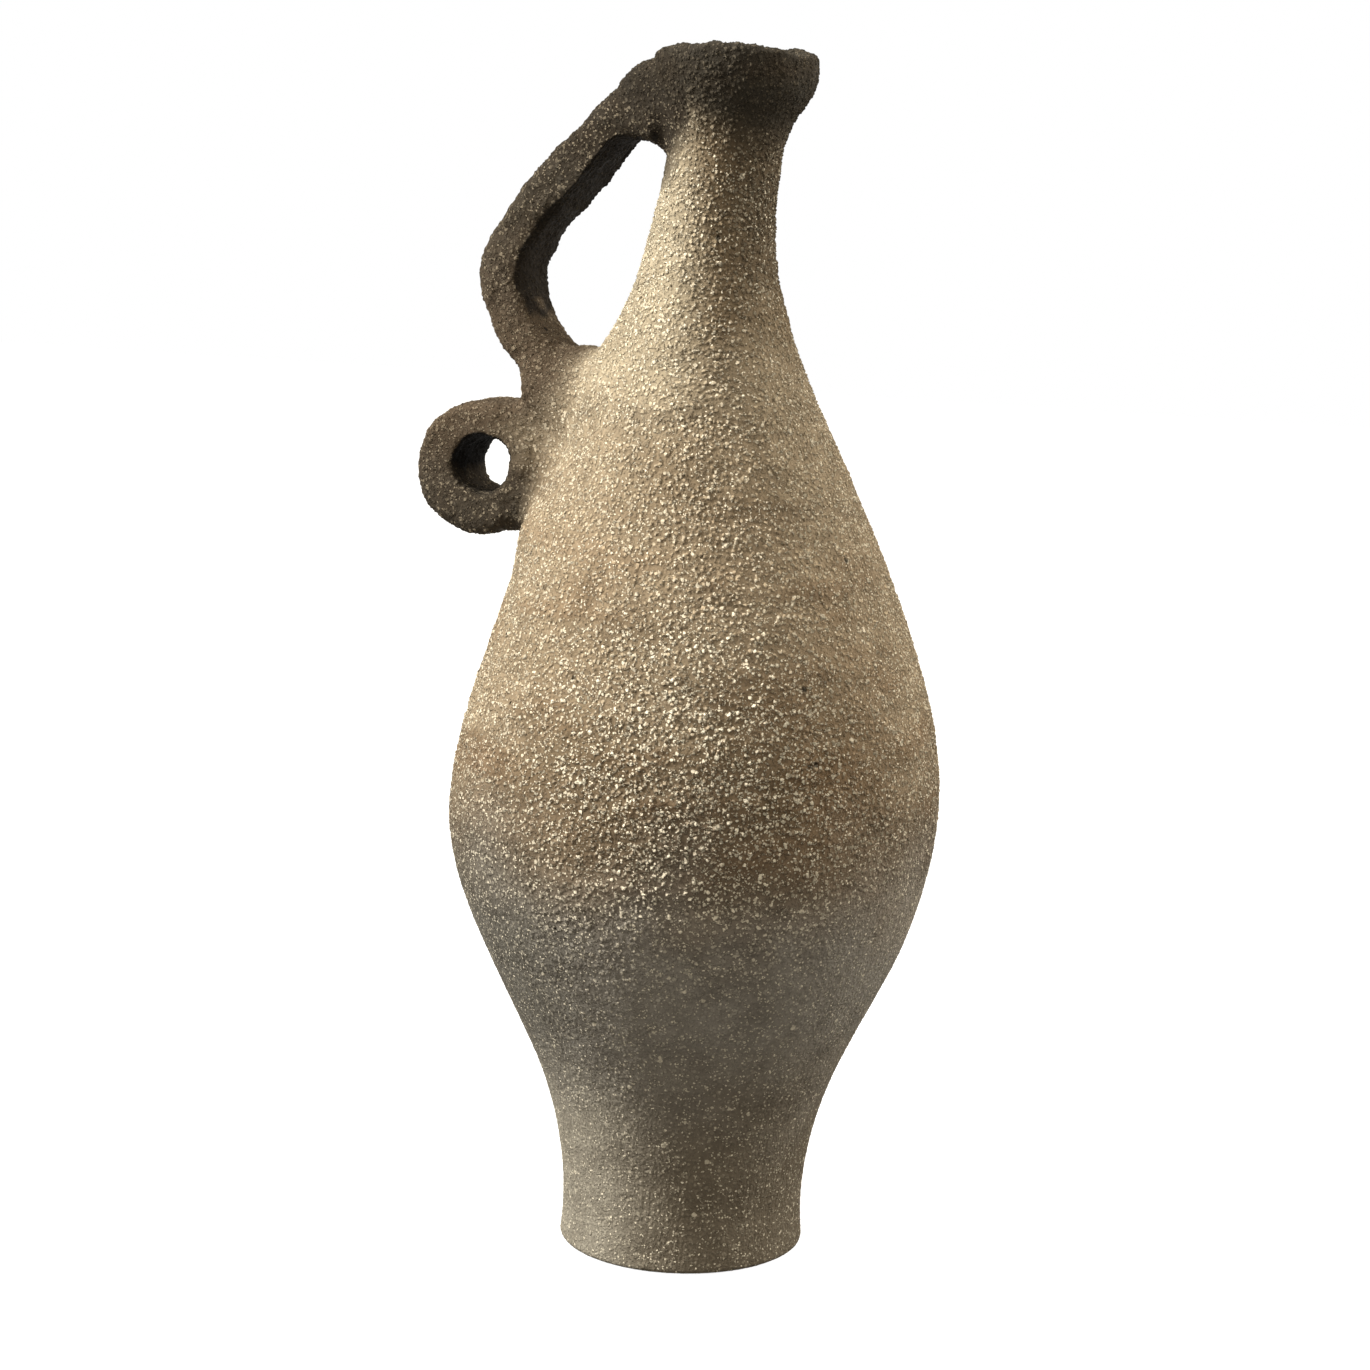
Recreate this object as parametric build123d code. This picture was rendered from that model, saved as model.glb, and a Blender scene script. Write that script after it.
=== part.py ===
from build123d import *

import os
from math import cos, pi

# A lekythos: a coil-built stoneware jug with a strap handle and a finger ring.
# Millimetres. The origin is the centre of the foot's underside, +Z is up, the beak points to +X
# and the handle to -X. Every height below is a rise above the level named before it.

# Outer silhouette, from the floor up
FOOT_RADIUS = 47.3
WAIST_RISE = 30.0
WAIST_RADIUS = 46.9
ANKLE_RISE = 32.0
ANKLE_RADIUS = 54.0
FLANK_RISE = 48.0
FLANK_RADIUS = 75.8
BELLY_RISE = 58.0
BELLY_RADIUS = 92.0
SHOULDER_RISE = 70.0
SHOULDER_RADIUS = 77.4
COLLAR_RISE = 67.0
COLLAR_RADIUS = 49.0
NECK_RISE = 50.0
NECK_RADIUS = 29.8
THROAT_RISE = 57.0
THROAT_RADIUS = 20.6

# Wall and floor
WALL = 7.0
SLAB_THICKNESS = 9.0
FOOT_EDGE_ROUND = 1.5
COIL_LAP = 2.5
NECK_LEAN = 6.0

# Mouth: three levels above the throat, each with its radius and how far the beak pushes out
FLARE_RISE = 12.0
FLARE_RADIUS = 22.2
FLARE_BEAK = 2.0
BULGE_RISE = 14.0
BULGE_RADIUS = 26.8
BULGE_BEAK = 5.5
RIM_RISE = 12.0
RIM_RADIUS = 28.5
RIM_BEAK = 3.5
LIP_WALL = 6.0
LIP_ROUND = 2.2
BEAK_SHARPNESS = 3
BEAK_DROOP = 5.0
BEAK_DROOP_LENGTH = 17.0
BACK_DROOP = 4.5
BACK_DROOP_LENGTH = 27.0

# Strap handle: points of its middle line, each below the one before, and how far they stand out
HANDLE_WIDTH = 27.0
HANDLE_THICKNESS = 17.0
HANDLE_ROUND = 5.0
HANDLE_RIM_DROP = 10.5
UPPER_ARM_DROP = 38.0
UPPER_ARM_REACH = 56.0
ELBOW_DROP = 37.5
ELBOW_REACH = 81.0
HEEL_DROP = 28.5
HEEL_REACH = 68.0
ROOT_DROP = 7.5

# Finger ring below the handle's root
RING_RADIUS = 26.0
RING_HOLE_RADIUS = 12.0
RING_HOLE_SHIFT = 1.5
RING_WIDTH = 28.0
RING_ROUND = 5.0
RING_HOLE_ROUND = 2.0
RING_DROP = 34.0
RING_STANDOFF = 9.5

# Clay worked into the roots
RIM_CLAY_WIDTH = 41.0
RIM_CLAY_DEPTH = 25.0
RIM_CLAY_LENGTH = 22.0
ROOT_CLAY_CHEEK = 3.0
ROOT_CLAY_BED = 2.0
ROOT_CLAY_REACH = 72.0
SADDLE_WIDTH = 25.0
SADDLE_START = 10.0
CLAY_ROUND = 5.0
CLAY_EDGE = 1.5

# How far a tool solid runs past what it cuts
OVER = 10.0

# Levels of the silhouette
waist_z = WAIST_RISE
ankle_z = waist_z + ANKLE_RISE
flank_z = ankle_z + FLANK_RISE
belly_z = flank_z + BELLY_RISE
shoulder_z = belly_z + SHOULDER_RISE
collar_z = shoulder_z + COLLAR_RISE
neck_z = collar_z + NECK_RISE
throat_z = neck_z + THROAT_RISE
flare_z = throat_z + FLARE_RISE
bulge_z = flare_z + BULGE_RISE
rim_z = bulge_z + RIM_RISE

silhouette = Spline(
    (FOOT_RADIUS, 0),
    (WAIST_RADIUS, waist_z),
    (ANKLE_RADIUS, ankle_z),
    (FLANK_RADIUS, flank_z),
    (BELLY_RADIUS, belly_z),
    (SHOULDER_RADIUS, shoulder_z),
    (COLLAR_RADIUS, collar_z),
    (NECK_RADIUS, neck_z),
    (THROAT_RADIUS, throat_z),
)

# Courses of clay from the slab to the throat, bottom first
COURSES = (
    "foot_coil_1",
    "foot_coil_2",
    "lower_body_coil_1",
    "lower_body_coil_2",
    "belly_coil_1",
    "belly_coil_2",
    "shoulder_coil_1",
    "shoulder_coil_2",
    "shoulder_coil_3",
    "shoulder_coil_4",
    "neck_coil_1",
    "neck_coil_2",
    "neck_coil_3",
)
UPRIGHT_COURSES = 12
coil_height = (throat_z - SLAB_THICKNESS) / len(COURSES)
neck_base_z = SLAB_THICKNESS + coil_height * UPRIGHT_COURSES


def outer_radius(z):
    """Radius of the silhouette at height z."""
    low, high = 0.0, 1.0
    for _ in range(40):
        middle = (low + high) / 2
        if (silhouette @ middle).Y < z:
            low = middle
        else:
            high = middle
    return (silhouette @ low).X


def axis_shift(z):
    """How far the neck's middle leans towards the beak at height z."""
    share = min(max((z - neck_base_z) / (flare_z - neck_base_z), 0), 1)
    return NECK_LEAN * (1 - cos(pi * share)) / 2


def under_seam(z):
    """Everything below a coil joint, which drops by COIL_LAP from the wall's inside to its outside."""
    middle = outer_radius(z) - WALL / 2
    edge = middle + 3 * WALL
    slope = COIL_LAP / WALL
    outline = Polyline(
        (0, -OVER),
        (BELLY_RADIUS + 4 * WALL, -OVER),
        (BELLY_RADIUS + 4 * WALL, z - 3 * COIL_LAP),
        (edge, z - 3 * COIL_LAP),
        (0, z + slope * middle),
        close=True,
    )
    return Pos(axis_shift(z), 0, 0) * revolve(make_face(Plane.XZ * outline), Axis.Z)


def turned(inset, bottom, top):
    """The solid inside the silhouette, moved in by inset, between two heights."""
    edge = Pos(-inset, 0) * silhouette
    outline = edge + Polyline(edge @ 1, (0, throat_z), (0, 0), edge @ 0)
    whole = revolve(make_face(Plane.XZ * outline), Axis.Z)
    room = Pos(0, 0, bottom) * Cylinder(
        BELLY_RADIUS + OVER, top - bottom, align=(Align.CENTER, Align.CENTER, Align.MIN)
    )
    return whole & room


def mouth_outline(z, radius, beak):
    """One level of the mouth: a circle pushed out to a beak on the +X side."""
    points = []
    steps = 16
    for step in range(steps):
        angle = 360 * step / steps
        ahead = (1 + cos(angle * pi / 180)) / 2
        points.append(Vector(radius + beak * ahead**BEAK_SHARPNESS, 0, 0).rotate(Axis.Z, angle))
    return Pos(axis_shift(z), 0, z) * make_face(Spline(*points, periodic=True))


def leaning(inset, lip_inset):
    """The solid inside neck and mouth, moved in by inset and, at the mouth, by lip_inset."""
    levels = []
    steps = 6
    for step in range(steps + 1):
        z = throat_z - 2 * coil_height * (1 - step / steps)
        radius = outer_radius(z) - inset
        levels.append(Pos(axis_shift(z), 0, z) * make_face(CenterArc((0, 0), radius, 0, 360)))
    levels.append(mouth_outline(flare_z, FLARE_RADIUS - lip_inset, FLARE_BEAK))
    levels.append(mouth_outline(bulge_z, BULGE_RADIUS - lip_inset, BULGE_BEAK))
    levels.append(mouth_outline(rim_z, RIM_RADIUS - lip_inset, RIM_BEAK))
    return loft(levels)


# The pot as filled solids: below the lean it is turned about Z, above it follows the leaning middle
body_outside = turned(0, 0, neck_base_z + OVER)
body_inside = turned(WALL, SLAB_THICKNESS, neck_base_z + OVER)
neck_outside = leaning(0, 0)
neck_inside = leaning(WALL, LIP_WALL)
body_wall = body_outside - body_inside
neck_wall = neck_outside - neck_inside

parts = {}

# Floor slab: a rolled disc, with the first coil standing on its rim
slab = turned(0, 0, SLAB_THICKNESS)
parts["floor_slab"] = fillet(slab.edges().sort_by(Axis.Z)[:1], FOOT_EDGE_ROUND)

# Wall: one coil on the other, lapped at each joint
floor_room = Pos(0, 0, SLAB_THICKNESS / 2) * Cylinder(BELLY_RADIUS, SLAB_THICKNESS)
below = floor_room
for number, name in enumerate(COURSES):
    above = under_seam(SLAB_THICKNESS + coil_height * (number + 1))
    wall = body_wall if number < UPRIGHT_COURSES else neck_wall
    parts[name] = (wall & above) - below
    below = above

# Pouring lip: the last coil, flared, pulled out to a beak that droops, with a rounded edge
lip = neck_wall - below
for side, reach, droop, length in (
    (1, RIM_RADIUS + RIM_BEAK + NECK_LEAN, BEAK_DROOP, BEAK_DROOP_LENGTH),
    (-1, RIM_RADIUS - NECK_LEAN, BACK_DROOP, BACK_DROOP_LENGTH),
):
    arch_radius = (length**2 + droop**2) / (2 * droop)
    start = Pos(side * (reach - length), 0, rim_z)
    cut = start * Pos(side * length, 0, 0) * Box(2 * length, 2 * BELLY_RADIUS, 4 * droop)
    arch = start * Pos(0, 0, -arch_radius) * Rot(X=90) * Cylinder(arch_radius, 2 * BELLY_RADIUS)
    lip -= cut - arch
edge_faces = lip.faces().filter_by(lambda face: face.normal_at().Z > 0.7)
lip_edges = [edge for edge in edge_faces.edges() if edge.length > 4 * LIP_WALL]
lip = fillet(lip_edges, LIP_ROUND)
parts["pouring_lip"] = lip

# Strap handle: a pulled strap, bent from the back of the rim to the shoulder
rim_end_z = rim_z - HANDLE_RIM_DROP
upper_arm_z = rim_end_z - UPPER_ARM_DROP
elbow_z = upper_arm_z - ELBOW_DROP
heel_z = elbow_z - HEEL_DROP
root_z = heel_z - ROOT_DROP
strap_line = Plane.XZ * Spline(
    (NECK_LEAN - RIM_RADIUS + LIP_WALL, rim_end_z),
    (-UPPER_ARM_REACH, upper_arm_z),
    (-ELBOW_REACH, elbow_z),
    (-HEEL_REACH, heel_z),
    (WALL - outer_radius(root_z), root_z),
)


def strap_section(along, width, thickness, lower=0.0):
    """A rounded section at a share of the strap's middle line, its top lower than the strap's by that."""
    plane = Plane(strap_line @ along, x_dir=(0, 1, 0), z_dir=strap_line % along)
    shift = lower + (thickness - HANDLE_THICKNESS) / 2
    return plane * Pos(0, shift) * RectangleRounded(width, thickness, HANDLE_ROUND)


strap = sweep(strap_section(0, HANDLE_WIDTH, HANDLE_THICKNESS), strap_line)
parts["strap_handle"] = strap - neck_outside - body_outside

# Finger ring: a flat coil bent round on itself
ring_z = root_z - RING_DROP
ring_x = -outer_radius(ring_z) - RING_STANDOFF - RING_RADIUS
place = Pos(ring_x, 0, ring_z) * Rot(X=90)
disc = place * Cylinder(RING_RADIUS, RING_WIDTH)
disc = fillet(disc.edges().filter_by(GeomType.CIRCLE), RING_ROUND)
hole = Pos(RING_HOLE_SHIFT, 0, RING_HOLE_SHIFT) * place * Cylinder(RING_HOLE_RADIUS, RING_WIDTH)
ring = disc - hole
hole_edges = ring.edges().filter_by(GeomType.CIRCLE).filter_by(
    lambda edge: abs(edge.radius - RING_HOLE_RADIUS) < 0.01
)
parts["ring_lug"] = fillet(hole_edges, RING_HOLE_ROUND)

# Saddle of clay that beds the ring on the shoulder
saddle_left = ring_x + SADDLE_START
saddle_bottom = ring_z - RING_RADIUS
saddle_top = root_z - HANDLE_THICKNESS / 2 - ROOT_CLAY_BED
saddle = Pos(saddle_left / 2, 0, (saddle_bottom + saddle_top) / 2) * Box(
    -saddle_left, SADDLE_WIDTH, saddle_top - saddle_bottom
)
saddle = fillet(saddle.edges().filter_by(Axis.X), CLAY_ROUND)
parts["lug_saddle_clay"] = saddle - disc - strap - body_outside

# Clay pressed under the strap's heel and up its cheeks, standing on the saddle
root_top = root_z + HANDLE_THICKNESS / 4
root_clay = Pos(-ROOT_CLAY_REACH / 2, 0, (root_top + saddle_top) / 2) * Box(
    ROOT_CLAY_REACH, HANDLE_WIDTH + 2 * ROOT_CLAY_CHEEK, root_top - saddle_top
)
root_clay = fillet(root_clay.edges().filter_by(Axis.Z), CLAY_ROUND)
parts["handle_root_clay"] = root_clay - strap - disc - body_outside

# Clay smoothed from the strap's top end over the back of the lip
rim_share = RIM_CLAY_LENGTH / strap_line.length
rim_clay = loft(
    [
        strap_section(0, RIM_CLAY_WIDTH, RIM_CLAY_DEPTH, CLAY_EDGE),
        strap_section(rim_share, HANDLE_WIDTH + CLAY_EDGE, HANDLE_THICKNESS, CLAY_EDGE),
    ]
)
parts["handle_rim_clay"] = rim_clay - strap - neck_outside

os.makedirs("parts", exist_ok=True)
for name, shape in parts.items():
    export_step(shape, f"parts/{name}.step")
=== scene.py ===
from math import cos, pi, radians, sin, tau

import bmesh
import bpy
import numpy as np
from mathutils import Matrix, Vector, noise
from mathutils.bvhtree import BVHTree


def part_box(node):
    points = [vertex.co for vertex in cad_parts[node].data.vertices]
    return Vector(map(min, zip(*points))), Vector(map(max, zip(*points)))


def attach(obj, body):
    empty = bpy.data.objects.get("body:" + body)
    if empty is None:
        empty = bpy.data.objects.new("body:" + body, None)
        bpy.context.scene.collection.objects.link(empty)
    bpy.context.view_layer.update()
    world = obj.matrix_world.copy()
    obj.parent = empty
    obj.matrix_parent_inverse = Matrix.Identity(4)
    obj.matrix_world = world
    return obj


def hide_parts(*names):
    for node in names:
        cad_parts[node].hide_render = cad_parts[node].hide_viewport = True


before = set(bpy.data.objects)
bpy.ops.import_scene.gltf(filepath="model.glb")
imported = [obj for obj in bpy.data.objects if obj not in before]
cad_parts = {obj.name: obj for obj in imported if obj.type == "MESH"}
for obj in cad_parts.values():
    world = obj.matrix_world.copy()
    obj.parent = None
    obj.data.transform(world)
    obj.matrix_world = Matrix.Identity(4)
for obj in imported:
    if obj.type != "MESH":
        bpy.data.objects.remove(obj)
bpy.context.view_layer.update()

# Coiled wall: a slab, thirteen rolled coils and a pinched lip, all of coarse grogged stoneware.
# Each was pressed onto the last and scraped into it, so the wall is drawn here as one skin, in rows that run
# from the foot up to the rim and down to the throat, and each piece further on takes its own rows of it.
COURSES = ["floor_slab", "foot_coil_1", "foot_coil_2", "lower_body_coil_1", "lower_body_coil_2",
           "belly_coil_1", "belly_coil_2", "shoulder_coil_1", "shoulder_coil_2", "shoulder_coil_3",
           "shoulder_coil_4", "neck_coil_1", "neck_coil_2", "neck_coil_3", "pouring_lip"]
SLENDER = ("neck_coil_1", "neck_coil_2", "neck_coil_3", "pouring_lip")
AROUND = 960
ROW_PITCH = 0.00055
NECK_PITCH = 0.00038
FEWEST_ROWS = 6
PROBES = 96
HARMONICS = 14
FAR_OUT = 0.3
SLAB_EDGE = 0.0015
AXIS_SMOOTHING = 8.0
WALL_SMOOTHING = 3.0


def ray_tree(names):
    """One ray-casting tree over the solids with these names."""
    points = []
    corners = []
    for name in names:
        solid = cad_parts[name].data
        start = len(points)
        points += [v.co.copy() for v in solid.vertices]
        corners += [[start + i for i in p.vertices] for p in solid.polygons]
    return BVHTree.FromPolygons(points, corners)


wall_solids = ray_tree(COURSES)
probe_angles = np.arange(PROBES) * tau / PROBES
angles = np.arange(AROUND) * tau / AROUND


def smooth_round(samples):
    """Samples at the probe angles, as a smooth line through every angle of the mesh."""
    waves = np.zeros(AROUND // 2 + 1, complex)
    waves[:HARMONICS] = np.fft.rfft(samples)[:HARMONICS]
    return np.fft.irfft(waves, AROUND) * AROUND / PROBES


def axis_at(z):
    """How far the pot's axis leans along X at this height."""
    right = wall_solids.ray_cast(Vector((FAR_OUT, 0, z)), Vector((-1, 0, 0)))[0]
    left = wall_solids.ray_cast(Vector((-FAR_OUT, 0, z)), Vector((1, 0, 0)))[0]
    return (right.x + left.x) / 2


def wall_radii(centre, heights, inner=False):
    """The wall's outer or inner radius at each probe angle, at the height given for that angle."""
    found = []
    for angle, z in zip(probe_angles, heights):
        way = Vector((cos(angle), sin(angle), 0))
        middle = Vector((centre, 0, z))
        if inner:
            hit = wall_solids.ray_cast(middle, way)[0]
        else:
            hit = wall_solids.ray_cast(middle + FAR_OUT * way, -way)[0]
        found.append((hit - middle).length)
    return np.array(found)


def row_points(centre, radii, heights):
    """A row of points round the pot, from values at the probe angles."""
    row = np.empty((AROUND, 3))
    across = smooth_round(radii)
    row[:, 0] = centre + across * np.cos(angles)
    row[:, 1] = across * np.sin(angles)
    row[:, 2] = smooth_round(heights)
    return row


def smooth_up(rows, width):
    """A running mean up the wall that keeps the slope at both ends."""
    reach = int(3 * width)
    weights = np.exp(-0.5 * (np.arange(-reach, reach + 1) / width) ** 2)
    weights /= weights.sum()
    before = 2 * rows[:1] - rows[reach:0:-1]
    after = 2 * rows[-1:] - rows[-2:-2 - reach:-1]
    padded = np.concatenate([before, rows, after])
    return sum(w * padded[i:i + len(rows)] for i, w in enumerate(weights))


# the wall's outside, course by course, from the slab's edge to the lip's seam
outer_seams = [SLAB_EDGE] + [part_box(name)[0].z for name in COURSES[1:]]
inner_seams = [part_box(name)[1].z for name in COURSES[:-1]]
lip_seam = outer_seams[-1]
levels = [outer_seams[0]]
course_rows = {}
for name, low, high in zip(COURSES, outer_seams, outer_seams[1:]):
    pitch = NECK_PITCH if name in SLENDER else ROW_PITCH
    count = max(FEWEST_ROWS, round((high - low) / pitch))
    start = len(levels) - 1
    levels += list(np.linspace(low, high, count + 1)[1:])
    course_rows[name] = (start, len(levels) - 1)
centres = smooth_up(np.array([axis_at(z) for z in levels]), AXIS_SMOOTHING)
flat = np.ones(PROBES)
outside = [row_points(c, wall_radii(c, z * flat), z * flat) for c, z in zip(centres, levels)]

# the lip's outside, up to where its edge rounds over, which follows the drooping rim
BELOW_RIM = 0.012
FAR_UP = 1.0
CREST_RISE = 0.0026
DOWN = Vector((0, 0, -1))
mouth = centres[-1]
mouth_z = (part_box("pouring_lip")[1].z - BELOW_RIM) * flat
mouth_radii = (wall_radii(mouth, mouth_z) + wall_radii(mouth, mouth_z, inner=True)) / 2
rim_z = np.array([wall_solids.ray_cast(Vector((mouth + r * cos(a), r * sin(a), FAR_UP)), DOWN)[0].z
                  for r, a in zip(mouth_radii, probe_angles)])
edge_z = rim_z - CREST_RISE
lip_count = round((edge_z.mean() - lip_seam) / NECK_PITCH)
for share in np.arange(1, lip_count + 1) / lip_count:
    heights = lip_seam + share * (edge_z - lip_seam)
    outside.append(row_points(mouth, wall_radii(mouth, heights), heights))
outside = smooth_up(np.array(outside), WALL_SMOOTHING)

# the rounded rim and the lip's inside, down to the throat's seam
THROAT_ROWS = 26
THROAT_SMOOTHING = 1.0
CREST_FULLNESS = 2.4
CREST_STEPS = 14
inside = []
for share in np.linspace(0, 1, THROAT_ROWS):
    heights = edge_z + share * (inner_seams[-1] - edge_z)
    inside.append(row_points(mouth, wall_radii(mouth, heights, inner=True), heights))
inside = smooth_up(np.array(inside), THROAT_SMOOTHING)
edge_out = outside[-1]
edge_in = inside[0]
crest = []
for step in np.arange(1, CREST_STEPS) * pi / CREST_STEPS:
    along = np.sign(cos(step)) * abs(cos(step)) ** (2 / CREST_FULLNESS)
    row = (edge_out + edge_in) / 2 + along * (edge_out - edge_in) / 2
    row[:, 2] += CREST_RISE * sin(step) ** (2 / CREST_FULLNESS)
    crest.append(row)
sheet = np.concatenate([outside, np.array(crest), inside])
course_rows["pouring_lip"] = (len(levels) - 1, len(sheet) - 1)

# the hand-built wall wanders a little to either side, and swells and draws in, as it climbs
VIEW_TURN = radians(25)
ASIDE = np.array((cos(VIEW_TURN), sin(VIEW_TURN)))
WANDER_AT = (0.000, 0.030, 0.070, 0.115, 0.155, 0.187, 0.217, 0.262,
             0.300, 0.335, 0.370, 0.388, 0.405, 0.420, 0.450)
WANDER_MM = (-1.2, -0.9, -0.3, 0.2, -1.2, 0.3, 1.2, 0.8, 0.2, -0.9, -0.8, 1.2, 0.5, -0.4, 0.2)
SWELL_MM = (-0.9, -0.5, 0.0, 0.2, 0.3, -0.7, -1.0, -0.1, -0.2, -0.9, -0.9, 0.0, 0.0, 0.0, 0.0)
MM_IN_METRE = 1000
CLIMB_TOP = 0.5
CLIMB_STEPS = 501
WANDER_SMOOTHING = 8.0
climb = np.linspace(0, CLIMB_TOP, CLIMB_STEPS)
wall_wander = smooth_up(np.interp(climb, WANDER_AT, WANDER_MM), WANDER_SMOOTHING) / MM_IN_METRE
wall_swell = smooth_up(np.interp(climb, WANDER_AT, SWELL_MM), WANDER_SMOOTHING) / MM_IN_METRE


def sway(points):
    """Points moved aside with the wall at their own height."""
    return points + np.interp(points[..., 2], climb, wall_wander)[..., None] * np.append(ASIDE, 0)


# clay drawn out by the ring and by the strap's foot: turn, height, reach round, reach up, and how far
DRAWN_OUT = ((202, 0.275, 26, 0.016, 0.0050), (197, 0.331, 25, 0.021, 0.0058))
spread = np.interp(sheet[..., 2], climb, wall_swell)
for turn, height, width, tall, by in DRAWN_OUT:
    spread += by * (np.exp(-((sheet[..., 2] - height) / tall) ** 2)
                    * np.exp(-((angles - radians(turn)) / radians(width)) ** 2))
sheet[..., 0] += spread * np.cos(angles)
sheet[..., 1] += spread * np.sin(angles)
sheet = sway(sheet)


def ramp(values, start, over):
    """0 up to the start and 1 at a given way past it. A way below 0 makes it run downwards."""
    return np.clip((values - start) / over, 0, 1)


def rounded(share):
    """A share from 0 to 1, with both its ends eased."""
    return share * share * (3 - 2 * share)


def outward_of(rows):
    """The direction that a sheet of rows faces at each point."""
    up = np.gradient(rows, axis=0)
    round_it = np.roll(rows, -1, 1) - np.roll(rows, 1, 1)
    facing = np.cross(round_it, up)
    return facing / np.linalg.norm(facing, axis=2, keepdims=True)


# the rim was left uneven where fingers pinched it: waves in a turn, size and start of each unevenness
RIM_LUMPS = ((5, 0.0003, 1.1), (9, 0.0002, 0.4), (14, 0.0002, 2.0), (23, 0.0002, 0.7))
PINCHED_FROM = 0.424
PINCHED_OVER = 0.024
pinched = sum(size * np.sin(waves * angles + start) for waves, size, start in RIM_LUMPS)
sheet[..., 2] += pinched * ramp(sheet[..., 2], PINCHED_FROM, PINCHED_OVER) ** 2
outward = outward_of(sheet)

# the wall round the handle's roots fired brown with the handle
HANDLE_NODES = ["strap_handle", "handle_rim_clay", "handle_root_clay", "ring_lug", "lug_saddle_clay"]
HANDLE_FROM = 0.23
BROWN_EDGE = 0.021
BROWN_FADE = 0.019
BROWN_AT = (0.270, 0.288, 0.305, 0.328, 0.345, 0.360, 0.400)
BROWN_ON_WALL = (0.40, 0.34, 0.22, 0.26, 0.24, 0.30, 1.00)
SPARSE = 4
handle_solids = ray_tree(HANDLE_NODES)


def from_handle(points):
    """How far each point is from the handle's solids."""
    return np.array([handle_solids.find_nearest(Vector(p))[3] for p in points])


def handle_share(points):
    """How much of the handle's brown firing each point shares, by its distance from the handle."""
    return rounded(ramp(from_handle(points), BROWN_EDGE, -BROWN_FADE))


sparse_rows = np.arange(0, len(sheet), SPARSE)
sparse_columns = np.arange(0, AROUND + 1, SPARSE)
sparse = sheet[sparse_rows][:, sparse_columns % AROUND]
shared = np.zeros(sparse.shape[:2])
by_handle = (sparse[..., 2] > HANDLE_FROM) & (sparse[..., 0] < 0)
shared[by_handle] = handle_share(sparse[by_handle])
shared = np.array([np.interp(np.arange(AROUND), sparse_columns, row) for row in shared])
browned = np.array([np.interp(np.arange(len(sheet)), sparse_rows, column) for column in shared.T]).T
browned *= np.interp(sheet[..., 2], BROWN_AT, BROWN_ON_WALL)

# The clay of every piece: unglazed stoneware with coarse grog, scraped smooth below and left rough above.
# The same fields give its relief, which is real shape, and its colours, so one set of functions draws both.


def add(tree, kind, inputs=(), **settings):
    """A node with these settings. An input given as a socket is linked, and any other is its value."""
    made = tree.nodes.new(kind)
    for key, value in settings.items():
        setattr(made, key, value)
    for key, value in dict(inputs).items():
        if isinstance(value, bpy.types.NodeSocket):
            tree.links.new(value, made.inputs[key])
        else:
            made.inputs[key].default_value = value
    return made


def calc(tree, operation, a, b=0.0, c=0.0):
    """One sum, product or other piece of arithmetic."""
    return add(tree, "ShaderNodeMath", {0: a, 1: b, 2: c}, operation=operation).outputs[0]


def times(tree, a, b):
    """One value times another."""
    return calc(tree, "MULTIPLY", a, b)


def scaled(tree, value, by, plus):
    """A value times another, plus a third."""
    return calc(tree, "MULTIPLY_ADD", value, by, plus)


def most(tree, a, b):
    """The larger of two values."""
    return calc(tree, "MAXIMUM", a, b)


def rest_of(tree, share):
    """What a share leaves of 1."""
    return calc(tree, "SUBTRACT", 1.0, share)


def vector_calc(tree, operation, a, b):
    """One piece of arithmetic on vectors, which gives a vector, or a value where it measures one."""
    second = "Scale" if operation == "SCALE" else 1
    made = add(tree, "ShaderNodeVectorMath", {0: a, second: b}, operation=operation)
    return made.outputs["Value" if operation in ("DISTANCE", "DOT_PRODUCT") else "Vector"]


def ease(tree, value, low, high, start=0.0, end=1.0):
    """Eases from start to end as the value goes from low to high."""
    made = add(tree, "ShaderNodeMapRange", {"Value": value, "From Min": low, "From Max": high,
                                            "To Min": start, "To Max": end}, interpolation_type="SMOOTHSTEP")
    return made.outputs["Result"]


HALF = (0.5, 0.5, 0.5)


def cells(tree, place, size):
    """Distance to the nearest grain's middle, in grains, two random values of it, and its slanting face."""
    made = add(tree, "ShaderNodeTexVoronoi", {"Vector": place, "Scale": 1 / size}, voronoi_dimensions="3D")
    draws = add(tree, "ShaderNodeSeparateXYZ", {0: made.outputs["Color"]}).outputs
    inward = vector_calc(tree, "SUBTRACT", place, made.outputs["Position"])
    lean = vector_calc(tree, "SUBTRACT", made.outputs["Color"], HALF)
    return made.outputs["Distance"], draws[0], draws[1], vector_calc(tree, "DOT_PRODUCT", inward, lean)


def cloud(tree, place, size, detail=2.0):
    """Soft noise about 0.5, with lumps of about this size."""
    return add(tree, "ShaderNodeTexNoise", {"Vector": place, "Scale": 1 / size, "Detail": detail}).outputs[0]


def near(tree, place, point, inner, outer):
    """1 within the inner distance of a point, falling to 0 at the outer one."""
    return ease(tree, vector_calc(tree, "DISTANCE", place, point), outer, inner)


def on_wall(turn, height):
    """The point of the wall's skin at this angle, in degrees, and height."""
    column = round(turn / 360 * AROUND) % AROUND
    return tuple(sheet[np.searchsorted(outside[:, column, 2], height), column])


# grains by size and how far each kind stands out, the share of places without a chip, and the stirring that
# makes the grains ragged
GROG = 0.0014
GROG_STANDS = 0.00056
FINE_GROG = 0.0008
FINE_STANDS = 0.00021
CHIP = 0.0046
CHIP_STANDS = 0.00050
CHIPLESS = 0.78
STIRS_IN_METRE = 900.0
STIRRED_BY = 0.0012


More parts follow.
